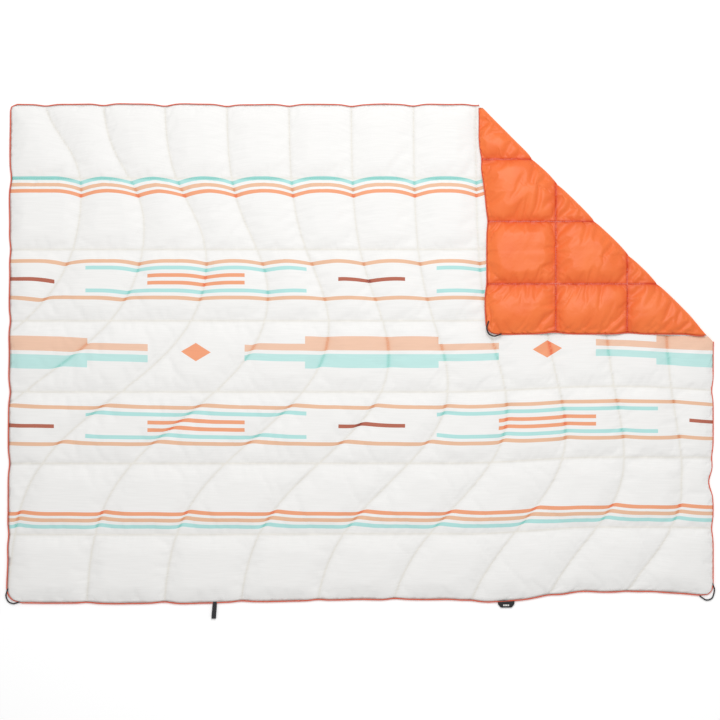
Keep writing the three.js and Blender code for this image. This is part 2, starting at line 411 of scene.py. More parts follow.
# %% Points on the lines
def snap(values, lines):
    """Moves the nearest value onto each line, and says which were moved."""
    values, moved = values.copy(), np.zeros(len(values), bool)
    for line in lines:
        nearest = np.abs(values - line).argmin()
        before, after = max(nearest - 1, 0), min(nearest + 1, len(values) - 1)
        spacing = abs(values[after] - values[before]) / 2
        if abs(values[nearest] - line) <= spacing:
            values[nearest] = line
            moved[nearest] = True
    return values, moved


def snap_rows(x, sewn, starts, ends, places, end_gap):
    """Moves points of every row onto the places where lines cross it, and marks them sewn."""
    for row in range(1, len(x) - 1):
        inside = [at for at in places(row) if starts[row] + 8 < at < ends[row] - end_gap]
        x[row, 1:-1], moved = snap(x[row, 1:-1], inside)
        sewn[row, 1:-1] |= moved


print("points 1 mm apart, snapped onto 3.4:", snap(np.arange(6.0), [3.4])[0])

# %% Grid of the main field
side_row = CREASE_END + 1 - RIGHT
upper = int(MAIN_ROWS * (TOP - side_row) / WIDTH)
y_rows = np.concatenate([np.linspace(TOP, side_row, upper)[:-1],
                         np.linspace(side_row, BOTTOM, MAIN_ROWS - upper + 1)])
y_rows, row_sewn = snap(y_rows, ROW_LINES)
x_from = LEFT + np.maximum(corner_cut(TOP - y_rows, TIGHT_CORNER), corner_cut(y_rows - BOTTOM))
x_to = np.where(y_rows > side_row, CREASE_END + crease_wave(y_rows) - y_rows,
                RIGHT - corner_cut(y_rows - BOTTOM))
turn_columns = 16                   # the last columns, that crowd into the turn
turn_width = math.sqrt(2) * (ROLL + BULGE)
along = np.linspace(0, 1, MAIN_COLUMNS - turn_columns)
turning = np.sin(np.linspace(0, math.pi / 2, turn_columns + 1))[1:]
flat_x = np.concatenate([
    x_from[:, None] + (x_to - turn_width - x_from)[:, None] * along[None],
    (x_to - turn_width)[:, None] + turn_width * turning[None]], 1)
flat_y = np.repeat(y_rows[:, None], flat_x.shape[1], 1)
sewn = np.repeat(row_sewn[:, None], flat_x.shape[1], 1)
snap_rows(flat_x, sewn, x_from, x_to,
          lambda row: [float(cross_line(n, y_rows[row])) for n in range(CROSS_LINES)], 8)
sewn[1:-1, 1:-1] |= to_cross_lines(flat_x, flat_y)[0][1:-1, 1:-1] < SEWN_WITHIN
print(f"main field: {flat_x.shape[0]} by {flat_x.shape[1]} points, about {WIDTH / MAIN_ROWS:.1f} mm apart")


# %% Height of the two skins of the main field
SEAM_HALF = 1.0                     # half the thickness left in a stitched line
CREASE_SLIT = 0.6                   # each pad's border stays this far from the crease axis
MID_Z = 11.0                        # a line's height above the ground in the field
SLIP = 0.15                         # cloth and thread stay this far from other cloth


def turn_height(past):
    """1 on the field, falling to 0 where the lining has turned right up."""
    return np.sqrt(1 - np.clip((past + ROLL) / (ROLL + BULGE), 0, 1) ** 2)


def near_crease(past):
    """0 on the field, rising to 1 at the crease."""
    return smooth((past + 26) / 22)


def within(a, b, radius, rounded_here=True):
    """Distance inside an outline, from the distances to two sides that meet in a round corner."""
    a, b = np.clip(a, 0, None), np.clip(b, 0, None)
    straight = np.minimum(a, b)
    rounded = (np.sqrt(a) + np.sqrt(b) - math.sqrt(radius)) * math.sqrt(radius)
    by_corner = (a < radius) & (b < radius) & rounded_here
    return np.where(by_corner, np.clip(np.minimum(rounded, straight), 0, None), straight)


def edge_distance(x, y):
    """Distance inside the field's edge; only its bottom corners are rounded here."""
    return within(np.minimum(x - LEFT, RIGHT - x), np.minimum(TOP - y, y - BOTTOM), CORNER, y < 0)


def main_skins(x, y):
    """(face height, lining height, seam height) at flat positions x, y."""
    edge = edge_distance(x, y)
    past = past_crease(x, y)
    turn = turn_height(past)
    puff, wrinkle = quilt_rise(x, y, edge)
    droop = MID_Z - (MID_Z - SEAM_Z) * np.exp(-edge / 60)
    middle = CREASE_Z - CREASE_SLIT - turn * (CREASE_Z - CREASE_SLIT - droop)
    face_rise = (CREASE_Z - middle) * puff + SEAM_HALF * smooth(edge / 4) + wrinkle
    face = middle + np.minimum(face_rise, CREASE_Z - SLIP - middle)
    face = face + (CREASE_Z - 2 * SLIP - face) * near_crease(past) * smooth(edge / 25)
    depth = middle - (CREASE_Z - CREASE_SLIT) * (1 - turn)
    lining = middle - depth * np.clip(puff + 0.12 * smooth(edge / 4) + wrinkle / 9, 0, 1)
    return face, np.maximum(lining, 0.0), middle


face_z, lining_z, seam_z = main_skins(flat_x, flat_y)
lie_x, lie_y = drape(flat_x, flat_y)
print(f"face from {face_z.min():.1f} to {face_z.max():.1f} mm")

# %% [markdown]
# ## A small kit for materials
# Colours are written as sRGB hex, as a dye chart would give them, and one function
# turns them to the linear values that shaders need. One more function adds a node,
# sets its options and wires its inputs. Values that are the same all over a surface,
# such as roughness, are set on the shader itself when its material is made.

# %% Material helpers
def linear(code):
    """sRGB hex, such as F97B42, to a linear RGBA colour."""
    channels = [int(code[i:i + 2], 16) / 255 for i in (0, 2, 4)]
    return [c / 12.92 if c <= 0.04045 else ((c + 0.055) / 1.055) ** 2.4 for c in channels] + [1]


def add(tree, kind, settings=None, **inputs):
    """Adds a node; each input is a value, or a socket or node to link from."""
    made = tree.nodes.new("ShaderNode" + kind)
    for name, value in (settings or {}).items():
        setattr(made, name, value)
    for name, value in inputs.items():
        key = int(name[1:]) if name[0] == "i" and name[1:].isdigit() else name.replace("_", " ")
        if isinstance(value, bpy.types.Node):
            value = value.outputs[0]
        if isinstance(value, bpy.types.NodeSocket):
            tree.links.new(value, made.inputs[key])
        else:
            made.inputs[key].default_value = value
    return made


def new_material(name, **finish):
    """A material whose shader has the values in finish; returns (material, tree, shader)."""
    material = bpy.data.materials.new(name)
    material.use_nodes = True
    shader = material.node_tree.nodes["Principled BSDF"]
    for socket, value in finish.items():
        shader.inputs[socket.replace("_", " ")].default_value = value
    return material, material.node_tree, shader


def dress(tree, shader, colour, bump):
    """Wires the pattern of colour and of relief to the shader."""
    tree.links.new(colour, shader.inputs["Base Color"])
    tree.links.new(bump, shader.inputs["Normal"])


print("F97B42 is linear", [round(channel, 3) for channel in linear("F97B42")])


# %% [markdown]
# ## The printed face
# The face is a fine polyester ripstop, woven and then transfer printed with a desert
# stripe: long bands, broken bars and small diamonds. It repeats along the length, and
# all but the broad bars in the middle mirrors top to bottom. The shader folds the
# cloth's own flat coordinates back onto one repeat, and each band is then one short
# comparison.

# %% The stripe design, in millimetres on the flat cloth
REPEAT = 947
MOTIF_X, PRINT_Y = 30, 3            # the middle of one motif
STRIPE = 10
TEAL, PEACH, CORAL, CLAY = "B7E7E3", "EFC1A1", "F6A880", "B96A55"
WIDE_TEAL, WIDE_PEACH = "C4EBE7", "F4CAB0"
# colour, height from the middle line, where it is centred, half length
BANDS = [(TEAL, 470, None, None), (PEACH, 452, None, None), (CORAL, 435, None, None),
         (PEACH, 246, None, None), (PEACH, 148, None, None),
         (TEAL, 228, "diamond", 298), (TEAL, 167, "diamond", 298),
         (CORAL, 208, "diamond", 131), (CORAL, 188, "diamond", 131), (CLAY, 198, "motif", 90)]
# colour, bottom, top, half length
BARS = [(WIDE_PEACH, 5, 23, 343), (WIDE_PEACH, 5, 43, 180),
        (WIDE_TEAL, -24, -5, 343), (WIDE_TEAL, -42, -5, 180)]
DIAMOND = (40, 24)                  # half length and half height
DIAMOND_INK = "F8A67D"
GROUND = "F7F6F4"                   # the unprinted cloth
print(len(BANDS), "bands and", len(BARS), "bars in every", REPEAT, "mm")


# %% Print the stripes
def print_colour(tree, cloth):
    """The printed colour at a point of the flat cloth, as a colour socket."""
    split = add(tree, "SeparateXYZ", Vector=cloth)
    u = add(tree, "Math", {"operation": "MULTIPLY_ADD"}, i0=split.outputs["X"], i1=1 / MM, i2=-MOTIF_X)
    v = add(tree, "Math", {"operation": "MULTIPLY_ADD"}, i0=split.outputs["Y"], i1=1 / MM, i2=-PRINT_Y)
    from_motif = add(tree, "Math", {"operation": "PINGPONG"}, i0=u, i1=REPEAT / 2)
    from_diamond = add(tree, "Math", {"operation": "SUBTRACT"}, i0=REPEAT / 2, i1=from_motif)
    height = add(tree, "Math", {"operation": "ABSOLUTE"}, i0=v)
    colour = linear(GROUND)

    def paint(under, mask, ink):
        over = add(tree, "Mix", {"data_type": "RGBA"}, i0=mask, i6=under, i7=linear(ink))
        return over.outputs[2]

    def as_long_as(mask, across, half):
        near = add(tree, "Math", {"operation": "LESS_THAN"}, i0=across, i1=half)
        return add(tree, "Math", {"operation": "MULTIPLY"}, i0=mask, i1=near)

    for ink, at, centre, half in BANDS:
        mask = add(tree, "Math", {"operation": "COMPARE"}, i0=height, i1=at, i2=STRIPE / 2)
        if centre:
            mask = as_long_as(mask, from_motif if centre == "motif" else from_diamond, half)
        colour = paint(colour, mask, ink)
    for ink, bottom, top, half in BARS:
        middle, reach = (top + bottom) / 2, (top - bottom) / 2
        mask = add(tree, "Math", {"operation": "COMPARE"}, i0=v, i1=middle, i2=reach)
        colour = paint(colour, as_long_as(mask, from_motif, half), ink)
    slope = add(tree, "Math", {"operation": "MULTIPLY_ADD"},
                i0=height, i1=DIAMOND[0] / DIAMOND[1], i2=from_diamond)
    inside = add(tree, "Math", {"operation": "LESS_THAN"}, i0=slope, i1=DIAMOND[0])
    return paint(colour, inside, DIAMOND_INK)


print(f"the motif repeats {LENGTH / REPEAT:.2f} times along the blanket")

# %% Weave, and painted shade at the sewn lines
RIPSTOP_PITCH, TAFFETA_PITCH = 3.0, 2.4


def woven_bump(tree, cloth, pitch, strength, depth):
    """Threads crossing every pitch millimetres, as a bump node."""
    scale = 1 / (pitch * MM) / math.pi  # a wave texture of scale 1 repeats every 1 / pi metre
    warp = add(tree, "TexWave", {"bands_direction": "X"}, Vector=cloth, Scale=scale, Distortion=0.6)
    weft = add(tree, "TexWave", {"bands_direction": "Y"}, Vector=cloth, Scale=scale, Distortion=0.6)
    both = add(tree, "Math", {"operation": "ADD"}, i0=warp.outputs["Fac"], i1=weft.outputs["Fac"])
    return add(tree, "Bump", Strength=strength, Distance=depth * MM, Height=both)


def painted_seam_shade(tree, colour, shade_colour, sharpness):
    """Paints shade into the cloth's colour at a stitched line, darkening it where the folds fall into shadow.
    """
    line = add(tree, "Attribute", {"attribute_name": "stitched"}).outputs["Fac"]
    line = add(tree, "Math", {"operation": "POWER"}, i0=line, i1=sharpness)
    return add(tree, "Mix", {"data_type": "RGBA", "blend_type": "MULTIPLY"},
               i0=line, i6=colour, i7=shade_colour).outputs[2]


print(f"{LENGTH / RIPSTOP_PITCH:.0f} threads of the drawn ripstop cross the blanket's length")

# %% The cloth of the face
# Ripstop woven from fine filament and printed by heat transfer. The eye gets chalky
# flat ink and faint slubs along the length. The ink deepens in every stitched line,
# which is painted shade where the seam folds fall into shadow.
# Its real weave repeats every 0.3 mm, which is too fine to draw: 3 mm is used.
SLUB = (71.4, 3.03)                 # length and spacing of the slubs


def printed_ripstop():
    material, tree, shader = new_material(
        "polyester_ripstop_transfer_printed", Roughness=0.72, Specular_IOR_Level=0.35,
        Sheen_Weight=0.1, Sheen_Roughness=0.5)
    cloth = add(tree, "UVMap", {"uv_map": "cloth"})
    per_metre = (1 / (SLUB[0] * MM), 1 / (SLUB[1] * MM), 1)
    stretched = add(tree, "Mapping", Vector=cloth, Scale=per_metre)
    slub = add(tree, "TexNoise", {"noise_dimensions": "2D"}, Vector=stretched, Scale=1.0, Detail=3.0)
    shade = add(tree, "MapRange", Value=slub.outputs["Fac"], From_Min=0.3, From_Max=0.7,
                To_Min=0.965, To_Max=1.0)
    grey = add(tree, "CombineColor", Red=shade, Green=shade, Blue=shade)
    slubbed = add(tree, "Mix", {"data_type": "RGBA", "blend_type": "MULTIPLY"}, i0=1.0,
                  i6=print_colour(tree, cloth), i7=grey)
    # Painted shade in every stitched line: the ink is multiplied by itself there, then by a near-white
    # colour.
    folded = painted_seam_shade(tree, slubbed.outputs[2], slubbed.outputs[2], 1.6)
    seam_shaded = painted_seam_shade(tree, folded, linear("FFFEFA"), 3.6)
    weave = woven_bump(tree, cloth, RIPSTOP_PITCH, strength=0.12, depth=0.15)
    dress(tree, shader, seam_shaded, weave.outputs[0])
    return material


RIPSTOP = printed_ripstop()
print(RIPSTOP.name, "has", len(RIPSTOP.node_tree.nodes), "nodes")

# %% The cloth of the lining
# Taffeta in a plain weave of bright filament, dyed in the piece. The eye gets a
# clear orange with satin lights on the swells. The red depth where it is gathered at
# the stitched lines is painted shade.
# Its weave too is drawn coarser than life.
MOTTLE, CRUMPLE = 55.56, 13.33      # size of the patches of colour and of the small crumples


def orange_taffeta():
    material, tree, shader = new_material(
        "polyester_taffeta_piece_dyed_orange", Roughness=0.46, Specular_IOR_Level=0.4,
        Sheen_Weight=0.1, Sheen_Roughness=0.4, Sheen_Tint=linear("FFC29B"))
    cloth = add(tree, "UVMap", {"uv_map": "cloth"})
    mottle = add(tree, "TexNoise", {"noise_dimensions": "2D"}, Vector=cloth,
                 Scale=1 / (MOTTLE * MM), Detail=4.0)
    colour = add(tree, "Mix", {"data_type": "RGBA"}, i0=mottle.outputs["Fac"],
                 i6=linear("F16E31"), i7=linear("FB8141"))
    # Painted shade at the stitched lines: a broad faint darkening near each line, then a deeper red one right
    # at it.
    shaded = painted_seam_shade(tree, colour.outputs[2], linear("F2CDBE"), 0.45)
    seam_shaded = painted_seam_shade(tree, shaded, linear("E1805C"), 2.6)
    crumpled = add(tree, "TexNoise", {"noise_dimensions": "2D"}, Vector=cloth,
                   Scale=1 / (CRUMPLE * MM), Detail=2.0, Distortion=0.8)
    crumple = add(tree, "Bump", Strength=0.3, Distance=1.5 * MM, Height=crumpled.outputs["Fac"],
                  Normal=woven_bump(tree, cloth, TAFFETA_PITCH, strength=0.15, depth=0.15))
    dress(tree, shader, seam_shaded, crumple.outputs[0])
    return material


TAFFETA = orange_taffeta()
print(TAFFETA.name, "has", len(TAFFETA.node_tree.nodes), "nodes")

# %% [markdown]
# ## The turned corner
# The corner is the same quilt folded over, so its lining is up and its face lies on
# the main field. It is drawn where it lies. Opened about the crease, a point at (x, y)
# goes to (sum - y, sum - x), so its rows run up and down here, and the lines that
# cross them run level. The bend has used some cloth, which moves them a little.

# %% Outline of the turned corner
FLAP_ROWS, FLAP_COLUMNS = 150, 150
FLAP_CORNER = 30                    # rounding at its free corner
flap_low = box_mm("flap_edge_piping")[0]
flap_left = flap_low[0]
flap_bottom = flap_low[1] + 3
flap_top = CREASE_END - flap_left - 1
print(f"corner from x={flap_left:.0f}, y={flap_bottom:.0f} up to y={flap_top:.0f} mm")


def flap_side(y):
    """x of the corner's upright edge, which leans and bows a little."""
    lean = 20 * smooth((flap_top - 70 - y) / 240)
    dent = 4 * np.exp(-((y - 130) / 70) ** 2)
    bumps = sum(2.5 * np.exp(-((y - line) / 20) ** 2) for line in FLAP_Y)
    return flap_left + 1 + lean - dent + bumps + 1.5 * noise(y / 45, y * 0 + 2.5, 6)


def flap_hem(x):
    """y of the corner's level edge."""
    bumps = sum(4 * np.exp(-((x - line) / 30) ** 2) for line in FLAP_X)
    return flap_bottom + 2 + bumps + 2.0 * noise(x / 50, x * 0 + 7.5, 6) - 5 * smooth((x - 860) / 60)


# %% Grid of the turned corner
share = np.linspace(0, 1, FLAP_ROWS) ** 0.9
fy_rows, level_sewn = snap(flap_top - share * (flap_top - flap_bottom), FLAP_Y)
fy = np.repeat(fy_rows[:, None], FLAP_COLUMNS, 1)
fx_from = flap_side(fy[:, 0]) + corner_cut(fy[:, 0] - flap_bottom, FLAP_CORNER)
fx_to = CREASE_END + crease_wave(fy[:, 0]) - fy[:, 0]
width = np.maximum(fx_to - fx_from, 1.0)
across = np.concatenate([np.linspace(0, 1, FLAP_COLUMNS - turn_columns), 1 + turning])
turn_share = np.minimum(turn_width, width * 0.5)
fx = np.where(across[None] <= 1, fx_from[:, None] + (width - turn_share)[:, None] * across[None],
              (fx_from + width - turn_share)[:, None] + turn_share[:, None] * (across[None] - 1))
flap_sewn = np.repeat(level_sewn[:, None], FLAP_COLUMNS, 1)
snap_rows(fx, flap_sewn, fx_from, fx_to, lambda row: FLAP_X, 12)
fy = fy + (flap_hem(fx) - flap_bottom) * np.exp(-(fy - flap_bottom) / 40)
print(f"turned corner: {FLAP_ROWS} by {FLAP_COLUMNS} points, {flap_sewn.sum()} of them sewn")


# %% Height of the two skins of the turned corner
def flap_skins(x, y):
    """(lining height, face height, seam height) of the corner where it lies."""
    edge = within(x - flap_side(y), y - flap_hem(x), FLAP_CORNER)
    past = past_crease(x, y)
    turn = turn_height(past)
    upright, column, side = nearest_line(x, FLAP_X)
    level, row, row_side = nearest_line(y, FLAP_Y)
    puff = (rise(upright) * rise(level) * rise(edge, CORNER_RISE)) ** CORNER_FULL
    plump = 0.93 + 0.1 * noise(column + 0.5 * side + 6.3, row + 0.5 * row_side, 3)
    wrinkle = PUCKER_HEIGHT * (
        4.6 * puckers(y * 1.15, upright * 0.8, column + 3, side, 4)
        + 3.4 * puckers(x * 1.15, level * 0.8, row + 3, row_side, 1)
        + 3.4 * puckers(x - y, edge, 9, 1, 2)
        + 2.6 * creases(x * 1.2, y * 1.2, 2)) * smooth(edge / 14)
    middle = CREASE_Z + CREASE_SLIT + turn * (LOFT / 2 - CREASE_SLIT)
    middle = middle - turn * 3 * np.exp(-edge / 45)
    up = CREASE_Z + CREASE_SLIT + turn * (LOFT - CREASE_SLIT) - middle
    lining = middle + up * puff * plump + SEAM_HALF * smooth(edge / 4) * turn + wrinkle * turn
    lowest = CREASE_Z + SLIP
    face = middle - (middle - lowest) * puff - SEAM_HALF * smooth(edge / 4)
    face = np.maximum(face + (lowest - face) * near_crease(past) * smooth(edge / 25), lowest)
    return np.maximum(lining, face), face, middle


flap_top_z, flap_under_z, flap_mid_z = flap_skins(fx, fy)
for z, seam in ((flap_top_z, flap_mid_z), (flap_under_z, flap_mid_z), (face_z, seam_z), (lining_z, seam_z)):
    z[0], z[-1], z[:, 0], z[:, -1] = seam[0], seam[-1], seam[:, 0], seam[:, -1]
print(f"corner's lining up to {flap_top_z.max():.1f} mm before it swells")

# %% Simulate the skins that are seen
START_SHARE = 0.7                   # a skin starts this far out, and its cloth swells the rest


def held_points(sewn_points, past, hold):
    """True along every line, round the border, and from hold mm before the crease on."""
    held = sewn_points | (past > -hold)
    held[0] = held[-1] = held[:, 0] = held[:, -1] = True
    return held


flap_start = flap_mid_z + (flap_top_z - flap_mid_z) * START_SHARE
flap_lining = swell("corner_lining_cloth", fx, fy, flap_start,
                    held_points(flap_sewn, past_crease(fx, fy), hold=8),
                    spare=0.05, pressure=5.5, cap=11)
field_start = seam_z + (face_z - seam_z) * START_SHARE
field_face = swell("field_face_cloth", lie_x, lie_y, field_start,
                   held_points(sewn, past_crease(flat_x, flat_y), hold=12),
                   spare=0.012, pressure=3.0, cap=7, frames=16)

# %% Make the two pads
PULL_TOP, PULL_BOTTOM = 14, -2.5    # how far a crossing line draws the print along it
PULL_REACH = 75                     # and how far from the line that has died out
SAW, SAW_REACH = 5.0, 82            # the same for cloth that slips along a slanting line
SEAM_FADE = 5                       # the shadow of a stitched line fades out over this


def printed_at(x, y):
    """Flat cloth position that shows at x, y: every crossing line gathers the print."""
    away, number, side = to_cross_lines(x, y)
    gather = (1 - np.clip(away / PULL_REACH, 0, 1)) ** 2
    pull = PULL_BOTTOM + (PULL_TOP - PULL_BOTTOM) * smooth((y - BOTTOM - 500) / 700)
    slant = np.clip(cross_slope(number, y) + 0.4 * smooth((150 - y) / 500), 0, 0.9)
    slip = side * np.tanh(away / 6) * (1 - np.clip(away / SAW_REACH, 0, 1)) ** 1.5
    return np.stack([x, y + gather * pull - SAW * slant * slip], -1)


field_lines = np.minimum(to_cross_lines(flat_x, flat_y)[0], nearest_line(flat_y, ROW_LINES)[0])
main_pad = pad_mesh("quilted_field", field_face, (lie_x, lie_y, lining_z),
                    printed_at(flat_x, flat_y), np.exp(-field_lines / SEAM_FADE), [RIPSTOP, TAFFETA])
opened = np.stack([CREASE_SUM - fy, CREASE_SUM - fx], -1)
flap_lines = np.minimum(nearest_line(fx, FLAP_X)[0], nearest_line(fy, FLAP_Y)[0])
flap_pad = pad_mesh("quilted_corner", flap_lining, (fx, fy, flap_under_z), opened,
                    np.exp(-flap_lines / SEAM_FADE), [TAFFETA, RIPSTOP])
print(f"corner {fx.max() - fx.min():.0f} by {fy.max() - fy.min():.0f} mm, top at {flap_lining[2].max():.1f}")

# %% Place the pads
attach(main_pad, "blanket")
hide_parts("face_panel", "insulation_sheet", "lining_panel")
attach(flap_pad, "corner_flap")
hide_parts("flap_face_panel", "flap_insulation_sheet", "flap_lining_panel")
print("pads placed:", main_pad.name, flap_pad.name)

# %% [markdown]
# ## Piping, thread, cords and tabs
# All the narrow pieces are sweeps: a section carried along a path. The piping is a
# strip of cloth folded over a thin cord and caught in the edge seam, so it follows
# the very edge of the pads. The quilting thread shows as short stitches lying in the
# grooves, with gaps where it passes through the quilt.

# %% Paths
def evenly(path, spacing):
    """The same path with its points spacing millimetres apart."""
    steps = np.linalg.norm(np.diff(path, axis=0), axis=1)
    keep = np.concatenate([[True], steps > 1e-6])
    path = path[keep]
    along = np.concatenate([[0], np.cumsum(np.linalg.norm(np.diff(path, axis=0), axis=1))])
    count = max(int(round(along[-1] / spacing)), 2)
    at = np.linspace(0, along[-1], count + 1)
    return np.stack([np.interp(at, along, path[:, axis]) for axis in range(3)], -1)


def rounded_path(corners, spacing):
    """A smooth curve through the given points (Catmull-Rom), evenly spaced."""
    corners = np.array(corners, float)
    padded = np.concatenate([[2 * corners[0] - corners[1]], corners, [2 * corners[-1] - corners[-2]]])
    t = np.linspace(0, 1, 24, endpoint=False)[:, None]
    pieces = []
    for a, b, c, d in zip(padded, padded[1:], padded[2:], padded[3:]):
        pieces.append(0.5 * (2 * b + (c - a) * t + (2 * a - 5 * b + 4 * c - d) * t ** 2
                             + (3 * b - 3 * c + d - a) * t ** 3))
    return evenly(np.concatenate(pieces + [corners[-1:]]), spacing)


def directions(path, across=None):
    """Unit vectors along, across and up at every point of a path."""
    forward = np.gradient(path, axis=0)
    forward /= np.linalg.norm(forward, axis=1, keepdims=True)
    if across is None:
        across = np.cross(forward, [0, 0, 1])
    else:
        across = np.repeat(np.array([across], float), len(path), 0)
    across /= np.linalg.norm(across, axis=1, keepdims=True)
    return forward, across, np.cross(across, forward)


print("an S of 100 mm has", len(rounded_path([(0, 0, 0), (50, 10, 0), (100, 0, 0)], 5)), "points, 5 mm apart")


# %% Sweep a section along it
def sweep(name, path, sections, material, across=None):
    """sections[i] holds the (across, up) points of the outline at path[i], in mm."""
    stations, around = sections.shape[:2]
    sideways, upward = directions(path, across)[1:]
    points = path[:, None] + sections[..., :1] * sideways[:, None] + sections[..., 1:] * upward[:, None]
    k = np.arange(stations * around).reshape(stations, around)
    after = np.roll(k, -1, axis=1)
    quads = np.stack([k[:-1], k[1:], after[1:], after[:-1]], -1).reshape(-1, 4)
    faces = quads.tolist() + [k[0].tolist(), k[-1][::-1].tolist()]
    piece = new_piece(name, points.reshape(-1, 3), faces)
    mesh = piece.data
    run = np.concatenate([[0], np.cumsum(np.linalg.norm(np.diff(path, axis=0), axis=1))])
    v = np.broadcast_to(run[:, None], (stations, around + 1))
    u = np.broadcast_to(np.arange(around + 1)[None] / around, (stations, around + 1))
    uv = np.stack([u, v * MM], -1)
    wrapped = np.stack([uv[:-1, :-1], uv[1:, :-1], uv[1:, 1:], uv[:-1, 1:]], 2).reshape(-1, 2)
    caps = np.concatenate([uv[0, :-1], uv[-1, :-1][::-1]])
    mesh.uv_layers.new(name="length").uv.foreach_set(
        "vector", np.concatenate([wrapped, caps]).astype(np.float32).ravel())
    mesh.materials.append(material)
    smooth_faces = np.ones(len(faces), bool)
    smooth_faces[-2:] = False
    mesh.polygons.foreach_set("use_smooth", smooth_faces)
    return piece


def ring(radius, around):
    """Circle sections for a sweep; radius may differ from point to point."""
    angle = np.linspace(0, 2 * math.pi, around, endpoint=False)[::-1]
    return radius[..., None] * np.stack([np.cos(angle), np.sin(angle)], -1)


print("a ring of 1 mm with ten points starts at", ring(np.ones(10), 10)[0].round(2))

# %% Materials of the piping and the thread
PULL_PITCH = 4.545                  # spacing of the small pulls along the piping
FLECK = 1.11                        # length of a fleck on the thread


# Bias-cut taffeta folded round a cord: a matte red-orange line with small pulls.
def piping_cloth():
    material, tree, shader = new_material(
        "polyester_taffeta_bias_cut_piping", Roughness=0.6, Sheen_Weight=0.2)
    place = add(tree, "UVMap", {"uv_map": "length"})
    stretched = add(tree, "Mapping", Vector=place, Scale=(3, 1 / (PULL_PITCH * MM), 1))
    pulls = add(tree, "TexNoise", {"noise_dimensions": "2D"}, Vector=stretched, Scale=1.0, Detail=2.0)
    colour = add(tree, "Mix", {"data_type": "RGBA"}, i0=pulls.outputs["Fac"],
                 i6=linear("C7472F"), i7=linear("EE6E4C"))
    bump = add(tree, "Bump", Strength=0.4, Distance=0.3 * MM, Height=pulls.outputs["Fac"])
    dress(tree, shader, colour.outputs[2], bump.outputs[0])
    return material


# Spun polyester thread, undyed: a soft pale dash with a fuzz that kills its shine.
def spun_thread():
    material, tree, shader = new_material("polyester_spun_sewing_thread", Roughness=0.8, Sheen_Weight=0.3)
    where = add(tree, "TexCoord").outputs["Object"]
    fleck = add(tree, "TexNoise", Vector=where, Scale=1 / (FLECK * MM))
    colour = add(tree, "Mix", {"data_type": "RGBA"}, i0=fleck.outputs["Fac"],
                 i6=linear("F4ECE2"), i7=linear("FCF7F0"))
    tree.links.new(colour.outputs[2], shader.inputs["Base Color"])
    return material


PIPING, THREAD = piping_cloth(), spun_thread()
print("piping and thread:", PIPING.name, THREAD.name)


# %% Materials of the cords and tabs
# Black yarn, solution dyed: polyester for the braided cord, polypropylene for the woven
# webbing. The eye gets a soft charcoal, and each strand carries a painted highlight:
# its colour pales towards lift where it bulges. pitch is the real strand spacing, and
# it is drawn twice as wide, so that it shows.
def black_yarn(name, pitch, lift):
    material, tree, shader = new_material(name, Roughness=0.75, Sheen_Weight=0.25)
    place = add(tree, "TexCoord").outputs["Object"]
    strands = add(tree, "TexWave", {"bands_direction": "DIAGONAL"}, Vector=place,
                  Scale=1 / (pitch * MM) / math.pi / 2, Distortion=1.5)
    # Painted highlight: the strand's colour pales towards lift where its bump is highest.
    colour = add(tree, "Mix", {"data_type": "RGBA"}, i0=strands.outputs["Fac"],
                 i6=linear("151517"), i7=linear(lift))
    bump = add(tree, "Bump", Strength=0.5, Distance=0.25 * MM, Height=strands.outputs["Fac"])
    dress(tree, shader, colour.outputs[2], bump.outputs[0])
    return material


# Damask label, black ground with a plain pale mark: three bars, no words.
label_low, label_high = box_mm("label_tab")
TRIM_X = (label_low[0] + label_high[0]) / 2
WEFT = 1.2                          # weft spacing, also drawn twice as wide


def label_cloth():
    material, tree, shader = new_material("polyester_damask_woven_label", Roughness=0.65)
    where = add(tree, "TexCoord").outputs["Object"]
    place = add(tree, "SeparateXYZ", Vector=where)
    x = add(tree, "Math", {"operation": "SUBTRACT"}, i0=place.outputs["X"], i1=TRIM_X * MM)
    y = add(tree, "Math", {"operation": "SUBTRACT"}, i0=place.outputs["Y"], i1=(BOTTOM - 7) * MM)
    mark = 0.0
    for at, half in ((-6, 2), (0, 3), (6, 2)):
        wide = add(tree, "Math", {"operation": "COMPARE"}, i0=x, i1=at * MM, i2=half * MM)
        tall = add(tree, "Math", {"operation": "COMPARE"}, i0=y, i1=0.0, i2=2 * MM)
        bar = add(tree, "Math", {"operation": "MULTIPLY"}, i0=wide, i1=tall)
        mark = add(tree, "Math", {"operation": "MAXIMUM"}, i0=bar, i1=mark)
    weft = add(tree, "TexWave", {"bands_direction": "Y"}, Vector=where, Scale=1 / (WEFT * MM) / math.pi / 2)
    colour = add(tree, "Mix", {"data_type": "RGBA"}, i0=mark, i6=linear("1C1C1E"), i7=linear("E8E6E1"))
    bump = add(tree, "Bump", Strength=0.3, Distance=0.15 * MM, Height=weft.outputs["Fac"])
    dress(tree, shader, colour.outputs[2], bump.outputs[0])
    return material


LABEL, WEBBING = label_cloth(), black_yarn("polypropylene_webbing_woven_black", 1.6, "303033")
CORD_BLACK = black_yarn("polyester_cord_braided_black", 1.2, "2B2B2E")
print("cord, webbing and label:", CORD_BLACK.name, WEBBING.name, LABEL.name)


# %% Piping round the field and round the turned corner
PIPING_RADIUS, PIPING_SIDES, PIPING_STEP = 1.5, 10, 5
PIPING_OUT = 0.8                    # share of its radius that it stands outside the border


def border(skin, parts):
    """Joins stretches of a skin's border into one path."""
    grid = np.stack(skin, -1)
    return np.concatenate([grid[part] for part in parts])


def pipe(name, path, body, replaced):
    """Piping that stands just outside the path, with small pulls in its thickness."""
    path = evenly(path, PIPING_STEP)
    outward = directions(path)[1]
    path = path + outward * PIPING_RADIUS * PIPING_OUT
    run = np.arange(len(path))
    radius = PIPING_RADIUS * (1 + 0.08 * noise(run / 2.3, run * 0 + 4.5, 7))
    sections = ring(np.repeat(radius[:, None], PIPING_SIDES, 1), PIPING_SIDES)
    piece = sweep(name, path, sections, PIPING)
    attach(piece, body)
    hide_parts(replaced)
    return piece


